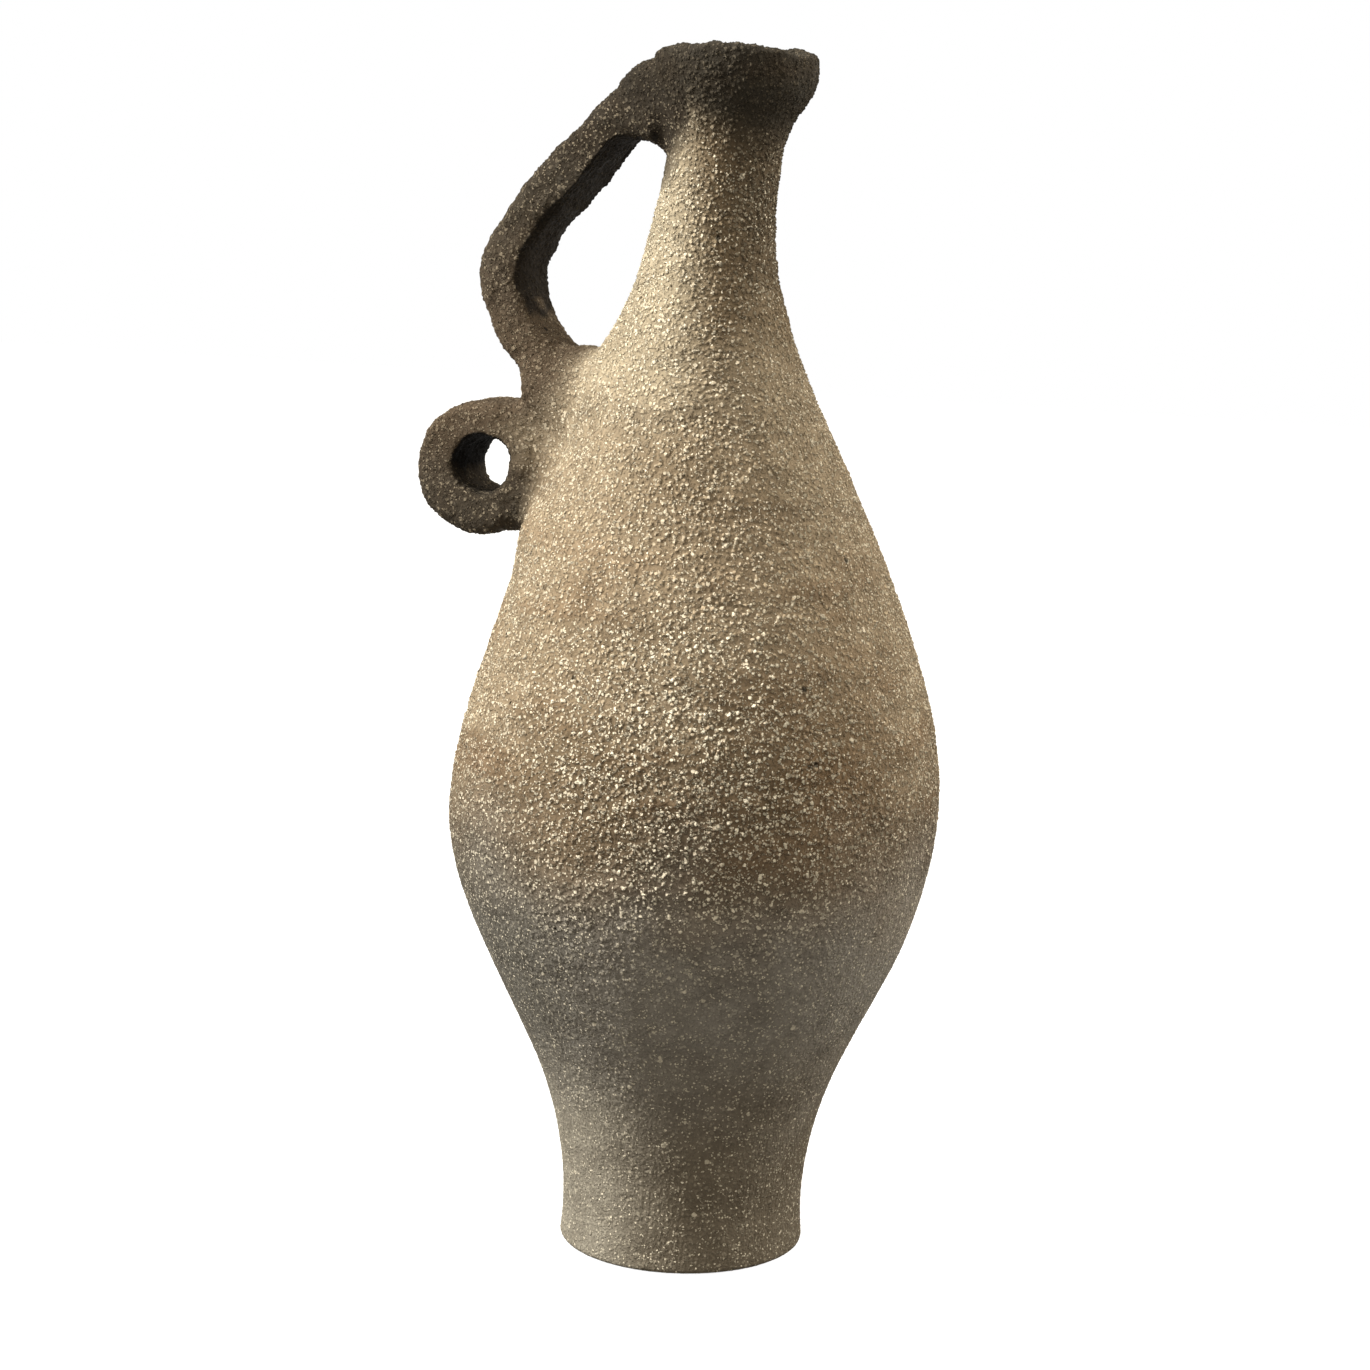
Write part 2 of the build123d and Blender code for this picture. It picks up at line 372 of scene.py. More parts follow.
def grog_fields(tree, place):
    """Where the clay holds grains, fine grains and chips, with the luck and the slanting face of each."""
    away, luck, tone, slant = cells(tree, place, GROG)
    grain = ease(tree, calc(tree, "SUBTRACT", ease(tree, luck, 0.10, 1.0, 0.24, 0.60), away), -0.06, 0.08)
    fine_away, fine_luck, _, fine_slant = cells(tree, place, FINE_GROG)
    fine_size = scaled(tree, fine_luck, 0.34, 0.18)
    fine = ease(tree, calc(tree, "SUBTRACT", fine_size, fine_away), -0.08, 0.10)
    chip_away, chip_luck, _, chip_slant = cells(tree, place, CHIP)
    chip_size = times(tree, ease(tree, chip_luck, CHIPLESS, 1.0, 0.08, 0.24),
                      calc(tree, "GREATER_THAN", chip_luck, CHIPLESS))
    chip = ease(tree, calc(tree, "SUBTRACT", chip_size, chip_away), -0.02, 0.05)
    return {"grain": grain, "tone": tone, "slant": slant, "fine": fine, "fine_luck": fine_luck,
            "fine_slant": fine_slant, "chip": chip, "chip_slant": chip_slant}


LOST_GRAINS = ((240.1, 0.2550), (227.1, 0.2360), (260.5, 0.2270), (321.4, 0.2000), (323.0, 0.2004))
LOST_INNER = 0.0004
LOST_OUTER = 0.0013
PIT_SPACING = 0.013
PITLESS = 0.90
PIT_SIZE = 0.085
PIT_DEPTH = 0.0010


def pit_field(tree, place, stirred):
    """Where grains fell out of the clay: a scatter of pits, and a few that are placed one by one."""
    pit_away, pit_luck, _, _ = cells(tree, place, PIT_SPACING)
    has_pit = calc(tree, "GREATER_THAN", pit_luck, PITLESS)
    pit = ease(tree, calc(tree, "SUBTRACT", times(tree, has_pit, PIT_SIZE), pit_away), -0.015, 0.05)
    pit = times(tree, pit, has_pit)
    for turn, height in LOST_GRAINS:
        pit = most(tree, pit, near(tree, stirred, on_wall(turn, height), LOST_INNER, LOST_OUTER))
    return pit


SMOOTHED_BELOW = 0.108
ROUGH_ABOVE = 0.184
ROUGH_DRIFT = 0.03
COARSE_SPOT = (0.034, -0.082, 0.190)
COARSE_INNER = 0.015
COARSE_OUTER = 0.080
COIL_PITCH = 0.031
COIL_START = 0.0075
GROOVE_HALF = 0.24
GROOVE_DEPTH = 0.0004
GROOVE_PATCH = 0.06
BAND = 0.045
BAND_FLATTENED = (1.0, 1.0, 3.2)
SCRAPE = 0.0016
SCRAPE_STRETCHED = (1.0, 1.0, 0.16)
LUMP = 0.011


def clay_fields(tree, place):
    """The fields of the grogged clay: how rough it was left, its grains, its pits and its height."""
    z = add(tree, "ShaderNodeSeparateXYZ", {0: place}).outputs[2]
    drift = scaled(tree, cloud(tree, place, ROUGH_DRIFT), 0.06, -0.030)
    rough = ease(tree, calc(tree, "ADD", z, drift), SMOOTHED_BELOW, ROUGH_ABOVE)
    coarse = near(tree, place, COARSE_SPOT, COARSE_INNER, COARSE_OUTER)
    gritty = times(tree, rough, scaled(tree, coarse, 0.45, 1.0))
    stir = add(tree, "ShaderNodeTexNoise", {"Vector": place, "Scale": STIRS_IN_METRE, "Detail": 1.0})
    stir = vector_calc(tree, "SUBTRACT", stir.outputs["Color"], HALF)
    stirred = vector_calc(tree, "ADD", place, vector_calc(tree, "SCALE", stir, STIRRED_BY))
    grog = grog_fields(tree, stirred)
    pit = pit_field(tree, place, stirred)
    bands = cloud(tree, vector_calc(tree, "MULTIPLY", place, BAND_FLATTENED), BAND)
    scrapes = cloud(tree, vector_calc(tree, "MULTIPLY", place, SCRAPE_STRETCHED), SCRAPE)
    turn = calc(tree, "DIVIDE", calc(tree, "SUBTRACT", z, COIL_START), COIL_PITCH)
    off_seam = calc(tree, "ABSOLUTE", calc(tree, "SUBTRACT", turn, calc(tree, "ROUND", turn)))
    groove = times(tree, ease(tree, off_seam, GROOVE_HALF, 0.0),
                   times(tree, rough, cloud(tree, place, GROOVE_PATCH)))
    # the height is a sum of layers, each with the depth it has where the clay is rough or smooth
    grains = times(tree, grog["grain"], scaled(tree, grog["slant"], 0.95, GROG_STANDS))
    fines = times(tree, grog["fine"], scaled(tree, grog["fine_slant"], 0.65, FINE_STANDS))
    chip_stands = times(tree, scaled(tree, grog["chip_slant"], 0.5, CHIP_STANDS), rough)
    layers = ((grains, scaled(tree, gritty, 0.84, 0.24)),
              (fines, scaled(tree, rough, 0.25, 0.80)),
              (scrapes, scaled(tree, rough, -0.00030, 0.00036)),
              (grog["chip"], chip_stands),
              (bands, scaled(tree, rough, 0.0010, 0.0006)),
              (cloud(tree, place, LUMP), scaled(tree, rough, 0.0005, 0.0001)),
              (groove, -GROOVE_DEPTH),
              (pit, -PIT_DEPTH))
    height = 0.0
    for layer, depth in layers:
        height = scaled(tree, layer, depth, height)
    height = calc(tree, "SUBTRACT", height, scaled(tree, rough, 0.0010, 0.0003))
    return {**grog, "z": z, "rough": rough, "coarse": coarse, "pit": pit, "groove": groove, "bands": bands,
            "height": height}


# the relief stands out of the skin as real shape
RELIEF = 0.7
relief = bpy.data.node_groups.new("clay_relief", "GeometryNodeTree")
relief.interface.new_socket("Geometry", in_out="INPUT", socket_type="NodeSocketGeometry")
depth_input = relief.interface.new_socket("Relief", in_out="INPUT", socket_type="NodeSocketFloat")
clay_input = relief.interface.new_socket("Clay", in_out="INPUT", socket_type="NodeSocketMaterial")
relief.interface.new_socket("Geometry", in_out="OUTPUT", socket_type="NodeSocketGeometry")
given = relief.nodes.new("NodeGroupInput").outputs
place = relief.nodes.new("GeometryNodeInputPosition").outputs[0]
fields = clay_fields(relief, place)
kept = "GeometryNodeInputNamedAttribute"
facing = add(relief, kept, {"Name": "outward"}, data_type="FLOAT_VECTOR").outputs[0]
skin = add(relief, kept, {"Name": "skin"}, data_type="FLOAT").outputs[0]
lift = times(relief, times(relief, fields["height"], skin), given["Relief"])
offset = vector_calc(relief, "SCALE", facing, lift)
moved = add(relief, "GeometryNodeSetPosition", {"Geometry": given["Geometry"], "Offset": offset})
real = add(relief, "GeometryNodeRealizeInstances", {0: moved.outputs[0]})
dressed = add(relief, "GeometryNodeSetMaterial", {"Geometry": real.outputs[0], "Material": given["Clay"]})
relief.links.new(dressed.outputs[0], relief.nodes.new("NodeGroupOutput").inputs[0])


def blend(tree, share, a, b):
    """Two colours mixed."""
    return add(tree, "ShaderNodeMix", {0: share, 6: a, 7: b}, data_type="RGBA").outputs[2]


# how the kiln and the clay coloured the pot, and painted shade, as one group that every stoneware of the pot
# uses
FIRED_COLOURS = {
    "Buff": (0.76, 0.650, 0.450), "Belly": (0.50, 0.390, 0.250), "Waist": (0.325, 0.246, 0.158),
    "Grey": (0.282, 0.258, 0.216), "Foot": (0.33, 0.300, 0.236), "Foot shade": (0.166, 0.138, 0.098),
    "Smoke and shade": (0.160, 0.107, 0.055), "Ash": (0.125, 0.118, 0.096), "Rust": (0.30, 0.175, 0.085),
    "Strap": (0.098, 0.071, 0.045), "Scorch and shade": (0.038, 0.033, 0.024), "Char": (0.010, 0.008, 0.005),
    "Stain": (0.04, 0.028, 0.016), "Seam": (0.070, 0.044, 0.024), "Hollow shade": (0.004, 0.003, 0.002),
    "Grain": (0.88, 0.79, 0.60), "Browned grain": (0.36, 0.295, 0.20), "Dull grain": (0.10, 0.066, 0.036),
    "Gap shade": (0.040, 0.027, 0.016), "Pit shade": (0.012, 0.009, 0.006)}
fired = bpy.data.node_groups.new("fired_stoneware", "ShaderNodeTree")
for label in FIRED_COLOURS:
    fired.interface.new_socket(label, in_out="INPUT", socket_type="NodeSocketColor")
for label in ("Strap share", "Hollow shade share"):
    fired.interface.new_socket(label, in_out="INPUT", socket_type="NodeSocketFloat")
fired.interface.new_socket("Color", in_out="OUTPUT", socket_type="NodeSocketColor")
for label in ("Roughness", "Height"):
    fired.interface.new_socket(label, in_out="OUTPUT", socket_type="NodeSocketFloat")
given = fired.nodes.new("NodeGroupInput").outputs
place = fired.nodes.new("ShaderNodeTexCoord").outputs["Object"]
fields = clay_fields(fired, place)
z = fields["z"]
rough = fields["rough"]
coarse = fields["coarse"]
bands = fields["bands"]

# grey at the foot and tan above, over heights that drift round the pot, with rust in some of the coil bands,
# and painted shade on the foot's right side, away from the key
PATCH = 0.05
MOTTLE = 0.012
MOTTLE_DETAIL = 3.0
TO_BUFF = (0.27, 0.40)
TO_WAIST = (0.215, 0.165)
TO_GREY = (0.188, 0.120)
TO_FOOT = (0.105, 0.035)
FOOT_SHADE_SIDE = (-0.030, 0.022)
RUST_FADES = (0.33, 0.22)
RUST_SPOT = (0.07, -0.057, 0.20)
RUST_INNER = 0.010
RUST_OUTER = 0.060
RUST_STRENGTH = 0.55
patch = cloud(fired, place, PATCH, MOTTLE_DETAIL)
mottle = cloud(fired, place, MOTTLE, MOTTLE_DETAIL)
drifted = calc(fired, "ADD", z, scaled(fired, patch, 0.08, -0.04))
to_right = vector_calc(fired, "DOT_PRODUCT", place, (*ASIDE, 0.0))
colour = blend(fired, ease(fired, drifted, *TO_BUFF), given["Belly"], given["Buff"])
colour = blend(fired, ease(fired, drifted, *TO_WAIST), colour, given["Waist"])
banded = times(fired, ease(fired, bands, 0.50, 0.68), ease(fired, z, *RUST_FADES))
spotted = times(fired, near(fired, place, RUST_SPOT, RUST_INNER, RUST_OUTER),
                ease(fired, bands, 0.35, 0.55, 0.35, 1.0))
rusty = most(fired, times(fired, banded, 0.7), spotted)
colour = blend(fired, times(fired, rusty, RUST_STRENGTH), colour, given["Rust"])
colour = blend(fired, ease(fired, drifted, *TO_GREY), colour, given["Grey"])
# painted shade: the foot darkens from its left side towards its centre and right, away from the key light
foot_shade = ease(fired, scaled(fired, patch, 0.03, to_right), *FOOT_SHADE_SIDE)
foot = blend(fired, foot_shade, given["Foot"], given["Foot shade"])
colour = blend(fired, ease(fired, drifted, *TO_FOOT), colour, foot)

# painted shade on the right side of the neck and shoulder, away from the key, and smoke in marks on the wall:
# turn, height, inner and outer reach, and strength
SMOKE_MARKS = ((298, 0.300, 0.012, 0.050, 0.50), (214, 0.165, 0.010, 0.045, 0.40),
               (322, 0.190, 0.020, 0.066, 0.60), (266, 0.188, 0.015, 0.054, 0.64),
               (262, 0.234, 0.012, 0.045, 0.32))
SMOKE_AND_SHADE_STRENGTH = 0.88
TO_SIDE_SHADE = (0.290, 0.365)
SHADE_SIDE = (-0.0175, 0.0060)
ASH_TURN = 226
ASH_HEIGHT = 0.118
ASH_INNER = 0.020
ASH_OUTER = 0.080
ASH_STRENGTH = 0.78
# painted shade: the upper body darkens on its right side, in the same colour as the smoke marks
shaded_side = calc(fired, "ADD", scaled(fired, patch, 0.02, to_right), scaled(fired, z, 0.08, -0.0372))
smoke_and_shade = times(fired, ease(fired, shaded_side, *SHADE_SIDE), ease(fired, drifted, *TO_SIDE_SHADE))
for turn, height, inner, outer, strength in SMOKE_MARKS:
    mark = near(fired, place, on_wall(turn, height), inner, outer)
    smoke_and_shade = most(fired, smoke_and_shade, times(fired, mark, strength))
colour = blend(fired, times(fired, smoke_and_shade, SMOKE_AND_SHADE_STRENGTH), colour, given["Smoke and shade"])
ashy = near(fired, place, on_wall(ASH_TURN, ASH_HEIGHT), ASH_INNER, ASH_OUTER)
colour = blend(fired, times(fired, ashy, ASH_STRENGTH), colour, given["Ash"])

# the mouth scorched nearly black, and the strap and the ring fired brown, with painted shade, nearly black,
# in the ring's hole and under the strap
RIGHT_SHADE_SIDE = (0.002, 0.016)
TO_RIGHT_SHADE = (0.345, 0.385)
RIGHT_SHADE_STRENGTH = 0.48
TO_SCORCH = (0.406, 0.434)
STRAP_TO_RIM = (0.325, 0.395)
STRAP_TO_RING = (0.316, 0.276)
STRAP_TO_CHAR = (0.385, 0.420)
# painted shade: the neck's right side, below the lip, darkened towards the scorch colour
right_shade = times(fired, ease(fired, to_right, *RIGHT_SHADE_SIDE), ease(fired, z, *TO_RIGHT_SHADE, 0.0, RIGHT_SHADE_STRENGTH))
colour = blend(fired, right_shade, colour, given["Scorch and shade"])
# the scorch comes a little lower on the right side, away from the key, which is painted shade over the real
# scorch
scorch_and_shade_line = calc(fired, "ADD", scaled(fired, to_right, 0.15, z), -0.015)
dark = ease(fired, scaled(fired, patch, 0.03, scorch_and_shade_line), *TO_SCORCH)
colour = blend(fired, dark, colour, given["Scorch and shade"])
brown = blend(fired, ease(fired, z, *STRAP_TO_RIM, 0.0, 0.9), given["Strap"], given["Scorch and shade"])
brown = blend(fired, ease(fired, z, *STRAP_TO_RING, 0.0, 0.9), brown, given["Scorch and shade"])
brown = blend(fired, ease(fired, z, *STRAP_TO_CHAR, 0.0, 0.50), brown, given["Char"])
broken = scaled(fired, mottle, -0.35, scaled(fired, given["Strap share"], 1.2, 0.05))
share = ease(fired, broken, 0.0, 0.9)
colour = blend(fired, share, colour, brown)
colour = blend(fired, ease(fired, mottle, 0.3, 0.8, 0.0, 0.30), colour, given["Stain"])
smudge = times(fired, ease(fired, fields["groove"], 0.0, 0.7), ease(fired, patch, 0.45, 0.70, 0.0, 0.32))
colour = blend(fired, smudge, colour, given["Seam"])
# painted shade, nearly black, in the ring's hole and under the strap
colour = blend(fired, given["Hollow shade share"], colour, given["Hollow shade"])

# pale and dull grains, painted shade in the gaps between them, bright flecks, and pits painted dark as shade,
# all fainter where the clay is dark
GRIT = 0.0009
GRIT_STANDS = 0.00034
unshaded = rest_of(fired, given["Hollow shade share"])
hushed = most(fired, times(fired, share, 0.48), times(fired, smoke_and_shade, 0.45))
quiet = times(fired, rest_of(fired, most(fired, times(fired, dark, 0.80), hushed)), unshaded)
quiet = times(fired, quiet, scaled(fired, rough, 0.75, 0.25))
speck = blend(fired, most(fired, dark, share), given["Grain"], given["Browned grain"])
pale = times(fired, fields["grain"], ease(fired, fields["tone"], 0.40, 1.0, 0.06, 0.62))
pale = times(fired, pale, scaled(fired, coarse, 2.8, 1.0))
colour = blend(fired, times(fired, pale, quiet), colour, speck)
dull = times(fired, fields["grain"], ease(fired, fields["tone"], 0.40, 0.0, 0.0, 0.22))
colour = blend(fired, times(fired, dull, quiet), colour, given["Dull grain"])
# painted shade in the gaps between the grains
gap_shade = times(fired, rest_of(fired, fields["grain"]), times(fired, quiet, scaled(fired, coarse, 0.10, 0.44)))
colour = blend(fired, gap_shade, colour, given["Gap shade"])
lucky = ease(fired, scaled(fired, coarse, 0.14, fields["fine_luck"]), 0.81, 0.90)
fleck = times(fired, times(fired, fields["fine"], lucky), 0.86)
fleck = most(fired, fleck, times(fired, fields["chip"], 0.65))
fleck = times(fired, fleck, rest_of(fired, most(fired, times(fired, dark, 0.75), times(fired, share, 0.44))))
fleck = times(fired, times(fired, fleck, scaled(fired, rough, 0.15, 0.85)), unshaded)
colour = blend(fired, fleck, colour, speck)
# painted shade in the pits
colour = blend(fired, times(fired, fields["pit"], 0.85), colour, given["Pit shade"])
grit_height = scaled(fired, cloud(fired, place, GRIT, MOTTLE_DETAIL), GRIT_STANDS, fields["height"])
put_out = fired.nodes.new("NodeGroupOutput").inputs
fired.links.new(colour, put_out["Color"])
fired.links.new(ease(fired, mottle, 0.2, 0.8, 0.82, 0.98), put_out["Roughness"])
fired.links.new(grit_height, put_out["Height"])

UNGLAZED_SHINE = 0.10


def stoneware(name, grit):
    """An unglazed stoneware in the pot's fired colours and painted shade, with its own grittiness."""
    made = bpy.data.materials.new(name)
    made.use_nodes = True
    tree = made.node_tree
    shader = tree.nodes["Principled BSDF"]
    shader.inputs["Specular IOR Level"].default_value = UNGLAZED_SHINE
    body = tree.nodes.new("ShaderNodeGroup")
    body.node_tree = fired
    for label, tint in FIRED_COLOURS.items():
        body.inputs[label].default_value = (*tint, 1)
    for label, attribute in (("Strap share", "browned"), ("Hollow shade share", "hollow_shade")):
        kept = add(tree, "ShaderNodeAttribute", attribute_name=attribute)
        tree.links.new(kept.outputs["Fac"], body.inputs[label])
    bump = add(tree, "ShaderNodeBump", {"Strength": grit, "Distance": 1.0, "Height": body.outputs["Height"]})
    tree.links.new(body.outputs["Color"], shader.inputs["Base Color"])
    tree.links.new(body.outputs["Roughness"], shader.inputs["Roughness"])
    tree.links.new(bump.outputs[0], shader.inputs["Normal"])
    return made


def keep_on(mesh, label, values):
    """Keeps a value or a direction for each point of a mesh."""
    kind, key = ("FLOAT_VECTOR", "vector") if values.ndim == 2 else ("FLOAT", "value")
    mesh.attributes.new(label, kind, "POINT").data.foreach_set(key, values.reshape(-1))


STRIPS = 4
STRIP_SHARE = 0.98


def ring_mesh(name, rows, facing, skin, brown=None):
    """A closed mesh from rows of points: joined round the axis, and from the last row to the first."""
    count, around = rows.shape[:2]
    index = np.arange(count * around).reshape(count, around)
    above = np.roll(index, -1, 0)
    quads = np.stack([index, np.roll(index, -1, 1), np.roll(above, -1, 1), above], -1).reshape(-1, 4)
    mesh = bpy.data.meshes.new(name)
    mesh.from_pydata(rows.reshape(-1, 3), [], quads)
    shared = np.zeros((count, around))
    if brown is not None:
        shared[:len(brown)] = brown
    keep_on(mesh, "outward", facing.reshape(-1, 3))
    keep_on(mesh, "skin", np.repeat(skin, around))
    keep_on(mesh, "browned", shared.reshape(-1))
    mesh.polygons.foreach_set("use_smooth", np.ones(len(quads), bool))
    # its own unwrap: the wall's loop laid flat, in strips one above the other
    run = np.concatenate([[0], np.cumsum(np.linalg.norm(np.roll(rows, -1, 0) - rows, axis=2).mean(1))])
    run = STRIP_SHARE * run / run[-1]
    column = np.arange(around) * STRIPS / around
    strip = np.floor(column)
    left = column - strip
    right = left + STRIPS / around
    spread = np.empty((count, around, 4, 2))
    for corner, (across, up) in enumerate(((left, 0), (right, 0), (right, 1), (left, 1))):
        spread[:, :, corner, 0] = across
        spread[:, :, corner, 1] = (strip + run[up:count + up, None]) / STRIPS
    mesh.uv_layers.new(name="OFBake").data.foreach_set("uv", spread.reshape(-1))
    return mesh


def edge_ends(mesh):
    """The two points of each edge of a mesh."""
    ends = np.empty(len(mesh.edges) * 2, int)
    mesh.edges.foreach_get("vertices", ends)
    return ends.reshape(-1, 2)


def sharpen(mesh, rows, around=AROUND):
    """Marks whole rows of a ring mesh as sharp, where the skin turns into a seam."""
    ends = edge_ends(mesh) // around
    sharp = (ends[:, 0] == ends[:, 1]) & np.isin(ends[:, 0], rows)
    mesh.attributes.new("sharp_edge", "BOOLEAN", "EDGE").data.foreach_set("value", sharp)


def dress(name, mesh, clay, nodes):
    """The mesh as a finished piece, its relief made real, riding with the pot and standing for its nodes."""
    piece = bpy.data.objects.new(name + "_clay", mesh)
    bpy.context.scene.collection.objects.link(piece)
    marks = piece.modifiers.new("relief", "NODES")
    marks.node_group = relief
    marks[depth_input.identifier] = RELIEF
    marks[clay_input.identifier] = clay
    bpy.context.view_layer.update()
    finished = bpy.data.meshes.new_from_object(piece.evaluated_get(bpy.context.evaluated_depsgraph_get()))
    piece.modifiers.remove(marks)
    piece.data = finished
    bpy.data.meshes.remove(mesh)
    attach(piece, "root")
    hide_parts(*nodes)


# Floor slab: the round of rolled stoneware on which the pot was started.
# It closes the foot, and its edge was rounded with a wet finger before firing.
grey_clay = stoneware("grey_stoneware", grit=1.2)
EDGE_STEPS = 4
EDGE_SKIN = (0.1, 0.3, 0.6, 0.9)
PIN_HOLE = 0.0004
UNDER_SHARES = (PIN_HOLE, 0.2, 0.5, 0.8, 0.93, 0.98)
OVER_SHARES = (0.85, 0.6, 0.3, PIN_HOLE)
SAME_PLACE = 1e-7


def disc_rows(row, z, shares):
    """Rows that shrink from one row of points towards the axis, at one height."""
    made = []
    for share in shares:
        ring = row * (1, 1, 0) * share
        ring[:, 2] = z
        made.append(ring)
    return made


def close_poles(mesh):
    """Draws the first and the last row of a ring mesh together into points."""
    work = bmesh.new()
    work.from_mesh(mesh)
    work.verts.ensure_lookup_table()
    poles = [work.verts[:AROUND], work.verts[-AROUND:]]
    for pole in poles:
        middle = sum((v.co for v in pole), Vector()) / AROUND
        for v in pole:
            v.co = middle
    pole_verts = set(poles[0]) | set(poles[1])
    bmesh.ops.delete(work, geom=[f for f in work.faces if pole_verts.issuperset(f.verts)], context="FACES")
    bmesh.ops.remove_doubles(work, verts=list(pole_verts), dist=SAME_PLACE)
    work.to_mesh(mesh)
    work.free()


first, last = course_rows["floor_slab"]
foot_row = sheet[first]
under = []
for step in np.linspace(0, pi / 2, EDGE_STEPS + 1)[1:]:
    ring = foot_row * (1, 1, 0) * (1 - SLAB_EDGE * (1 - cos(step)) / np.linalg.norm(foot_row[0, :2]))
    ring[:, 2] = SLAB_EDGE * (1 - sin(step))
    under.append(ring)
under = disc_rows(under[-1], 0.0, UNDER_SHARES) + under[::-1]
over = disc_rows(sheet[last], inner_seams[0], OVER_SHARES)
rows = np.concatenate([under, sheet[first:last + 1], over])
skinned = slice(len(under), len(under) + last - first + 1)
facing = outward_of(rows)
facing[skinned] = outward[first:last + 1]
skin = np.zeros(len(rows))
skin[skinned] = 1
skin[len(under) - EDGE_STEPS:len(under)] = EDGE_SKIN
slab_mesh = ring_mesh("floor_slab", rows, facing, skin)
sharpen(slab_mesh, [len(under) + last - first])
close_poles(slab_mesh)
dress("floor_slab", slab_mesh, grey_clay, ["floor_slab"])


# Foot coils: the two rolled courses of the tall foot.
# They were pinched onto the slab and scraped smooth, so that few grains stand out.
INNER_ROWS = 6
SEAM_STEP = 1e-4


def course_piece(name, clay):
    """One coiled course: its outer skin, its seams and its inner wall."""
    at = COURSES.index(name)
    first, last = course_rows[name]
    heights = np.linspace(inner_seams[at], inner_seams[at - 1], INNER_ROWS) - SEAM_STEP
    heights[-1] = inner_seams[at - 1] + SEAM_STEP
    inner = []
    for z in heights:
        centre = np.interp(z, levels, centres)
        inner.append(sway(row_points(centre, wall_radii(centre, z * flat, inner=True), z * flat)))
    step = 2 if name in SLENDER else 1
    rows = np.concatenate([sheet[first:last + 1], inner])[:, ::step]
    facing = outward_of(rows)
    facing[:last - first + 1] = outward[first:last + 1, ::step]
    skin = np.concatenate([np.ones(last - first + 1), np.zeros(INNER_ROWS)])
    mesh = ring_mesh(name, rows, facing, skin, browned[first:last + 1, ::step])
    sharpen(mesh, [0, last - first, last - first + 1, len(rows) - 1], rows.shape[1])
    dress(name, mesh, clay, [name])


for name in ("foot_coil_1", "foot_coil_2"):
    course_piece(name, grey_clay)


# Lower body coils: the courses that open out above the foot.
# The same grey-fired stoneware, luted to the foot with slip and scraped smooth.
for name in ("lower_body_coil_1", "lower_body_coil_2"):
    course_piece(name, grey_clay)


# Belly coils: the widest courses, where the fired colour turns from grey to tan.
# Left rougher, so that the coarse grog stands out of the clay.
tan_clay = stoneware("tan_stoneware", grit=1.2)
for name in ("belly_coil_1", "belly_coil_2"):
    course_piece(name, tan_clay)


# Shoulder coils: the long closing-in of the body, in tan stoneware.
# Each coil was pressed onto the last, which left the faint bands round the wall.
for name in ("shoulder_coil_1", "shoulder_coil_2", "shoulder_coil_3", "shoulder_coil_4"):
    course_piece(name, tan_clay)


# Neck coils: the slender courses below the mouth, in the same stoneware.
# Each was pressed onto the last, and the top one leans a little towards the spout.
for name in ("neck_coil_1", "neck_coil_2", "neck_coil_3"):
    course_piece(name, tan_clay)


# Pouring lip: the flared mouth, pinched out of the last coil with a short beak.
# Its rim was rounded between two fingers, and it fired to a dark brown.
lip_clay = stoneware("lip_stoneware", grit=1.0)
RIM_SKIN = 0.7
THROAT_SKIN = 0.4
first, last = course_rows["pouring_lip"]
skin = np.linspace(1, RIM_SKIN, last - first + 1)
skin[-len(inside):] = np.linspace(RIM_SKIN, THROAT_SKIN, len(inside))
skin[-1] = 0
lip_mesh = ring_mesh("pouring_lip", sheet[first:, ::2], outward[first:, ::2], skin, browned[first:, ::2])
sharpen(lip_mesh, [0, last - first], AROUND // 2)
dress("pouring_lip", lip_mesh, lip_clay, ["pouring_lip"])


# Strap handle and finger ring: a stout pulled strap from the rim to the shoulder, and a small ring below it.
# Both were stuck on with soft clay of the same stoneware, worked in all round until no seam showed.
# They are cast here as one lump with the wall, worked in the same way, and cut apart at one level.
brown_clay = stoneware("brown_stoneware", grit=1.1)
VOXEL = 0.0009
WELD = 1e-6
PATCH_STEP = 2
PLUG_FROM = 0.235
PLUG_TURNS = (100, 260)
PLUG_DEPTH = 0.005
SKIN_FROM = 0.20
SKIN_TURNS = (80, 280)
# clay webbed into the corners, as middles and half sizes: under the rim, in the strap's foot and beside it
WEBS = (((-0.0200, 0.0, 0.4225), (0.0058, 0.0140, 0.0090)),
        ((-0.0185, -0.0115, 0.4205), (0.0048, 0.0060, 0.0075)),
        ((-0.0185, 0.0115, 0.4205), (0.0048, 0.0060, 0.0075)),
        ((-0.0480, 0.0, 0.3310), (0.0130, 0.0130, 0.0085)),
        ((-0.0500, -0.0090, 0.3180), (0.0160, 0.0105, 0.0140)),
        ((-0.0500, 0.0090, 0.3180), (0.0160, 0.0105, 0.0140)))


def wall_patch(bottom, top_row, turns):
    """The rows and columns of the wall behind the handle, between two turns in degrees."""
    rows = np.arange(int(np.searchsorted(levels, bottom)), top_row, PATCH_STEP)
    columns = np.arange(AROUND * turns[0] // 360, AROUND * turns[1] // 360, PATCH_STEP)
    return rows, columns


def grid_quads(grid):
    """The faces between the points of a grid."""
    return np.stack([grid[:-1, :-1], grid[:-1, 1:], grid[1:, 1:], grid[1:, :-1]], -1).reshape(-1, 4)


